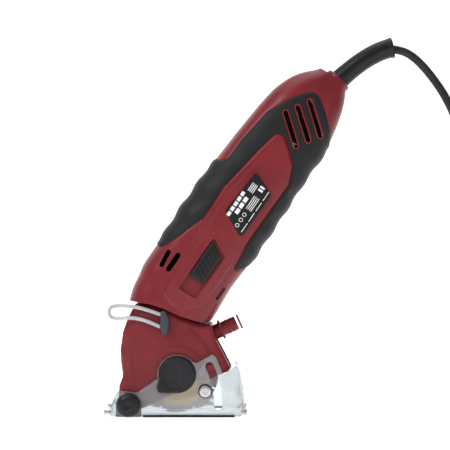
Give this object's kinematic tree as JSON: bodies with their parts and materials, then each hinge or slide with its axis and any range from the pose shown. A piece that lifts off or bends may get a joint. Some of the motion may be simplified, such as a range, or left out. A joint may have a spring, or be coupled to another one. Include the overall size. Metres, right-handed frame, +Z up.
{
  "type": "circular saw",
  "caption": "Slim handheld corded plunge saw: red body leaning over a small round blade in a clear hinged base, with a rubber grip, slide switch and dust outlet.",
  "frame": {"origin": "middle of the sole, on the surface that the saw stands on", "axes": "+Z up, square to the sole; +X along the cut, from the pivot knob towards the cord; -Y towards the side with the slide switch"},
  "size_m": [0.3246, 0.0844, 0.2516],
  "materials": {
    "red_plastic": "satin moulded",
    "black_rubber": "soft overmould",
    "black_plastic": "fine grain",
    "label_film": "smooth film",
    "steel": "ground",
    "bright_steel": "polished",
    "dark_cast": "cast and painted",
    "lamination": "stacked sheet",
    "copper": "enamelled winding",
    "brass": "plain",
    "carbon": "graphite",
    "blade_gold": "titanium coated disc with a diamond rim",
    "clear_plastic": "clear moulded",
    "white_plastic": "moulded",
    "white_cord": "ribbed elastic",
    "grey_rubber": "soft"
  },
  "bodies": {
    "casing": {"housing_near": "red_plastic", "housing_far": "red_plastic", "grip_near": "black_rubber", "grip_far": "black_rubber", "rating_label": "label_film", "casing_screws": "steel", "cord_sleeve": "black_rubber", "cord_clamp": "black_plastic", "power_cord": "black_rubber", "cord_coil": "black_rubber", "plug_lead": "black_rubber", "cord_tie": "black_plastic", "plug_body": "black_rubber", "plug_pins": "bright_steel", "switch_module": "black_plastic", "capacitor": "black_plastic", "stator_core": "lamination", "field_coils": "copper", "brush_holders": "brass", "carbon_brushes": "carbon", "motor_bearings": "steel", "gear_case": "dark_cast", "gear_cover": "dark_cast", "head_screws": "steel", "cross_bearings": "steel", "spindle_bearings": "steel", "idler_axle": "steel", "guard_near": "red_plastic", "dust_port": "red_plastic", "depth_guide": "red_plastic", "loop_toggle": "grey_rubber", "keeper_loop": "white_cord"},
    "armature": {"motor_shaft": "steel", "armature_core": "lamination", "commutator": "copper", "cooling_fan": "black_plastic", "bevel_pinion": "steel"},
    "cross_shaft": {"cross_shaft": "steel", "bevel_gear": "steel", "drive_pinion": "steel"},
    "idler": {"idler_gear": "steel"},
    "blade_spindle": {"spindle": "steel", "spindle_gear": "steel", "inner_flange": "steel", "saw_blade": "blade_gold", "outer_flange": "steel", "arbor_screw": "steel"},
    "slider": {"switch_slider": "black_plastic", "slide_rod": "black_plastic"},
    "lock": {"lock_button": "black_plastic"},
    "base": {"base_tub": "clear_plastic", "pivot_bracket": "white_plastic", "sole_rails": "steel", "pivot_pin": "steel", "guide_pins": "bright_steel", "return_spring": "steel"},
    "knob": {"pivot_knob": "black_plastic"},
    "cap": {"arbor_cap": "grey_rubber"},
    "stop": {"stop_screw": "bright_steel", "stop_ring": "black_rubber"}
  },
  "joints": [
    {"name": "plunge", "type": "hinge", "parent": "casing", "child": "base", "pos_m": [-0.0306, 0, 0.01], "axis": [0, -1, 0], "range_deg": [0, 22], "stiffness_Nm_per_rad": 2, "springref_deg": -25.78},
    {"name": "motor_spin", "type": "hinge", "parent": "casing", "child": "armature", "pos_m": [-0.00514, 0, 0.07512], "axis": [0.5664, 0, 0.8241], "continuous": true},
    {"name": "cross_spin", "type": "hinge", "parent": "casing", "child": "cross_shaft", "pos_m": [-0.00514, 0, 0.07512], "axis": [0, 1, 0], "continuous": true},
    {"name": "idler_spin", "type": "hinge", "parent": "casing", "child": "idler", "pos_m": [0.00072, 0, 0.0534], "axis": [0, 1, 0], "continuous": true},
    {"name": "blade_spin", "type": "hinge", "parent": "casing", "child": "blade_spindle", "pos_m": [0.0005, 0, 0.0294], "axis": [0, 1, 0], "continuous": true},
    {"name": "switch_slide", "type": "slide", "parent": "casing", "child": "slider", "axis": [-0.5664, 0, -0.8241], "range_m": [0, 0.008]},
    {"name": "lock_press", "type": "slide", "parent": "casing", "child": "lock", "axis": [0, -1, 0], "range_m": [0, 0.002], "stiffness_N_per_m": 400, "springref_m": -0.002},
    {"name": "knob_turn", "type": "hinge", "parent": "base", "child": "knob", "pos_m": [-0.0306, 0, 0.01], "axis": [0, -1, 0], "range_deg": [0, 120]},
    {"name": "cap_pull", "type": "slide", "parent": "base", "child": "cap", "axis": [0, -1, 0], "range_m": [0, 0.009]},
    {"name": "stop_turn", "type": "hinge", "parent": "base", "child": "stop", "pos_m": [0.0193, 0, 0.0188], "axis": [0, -1, 0], "range_deg": [0, 180]}
  ],
  "couplings": [
    {"joint": "cross_spin", "follows": "motor_spin", "ratio": -0.33333},
    {"joint": "idler_spin", "follows": "motor_spin", "ratio": 0.20238},
    {"joint": "blade_spin", "follows": "motor_spin", "ratio": -0.28333}
  ]
}
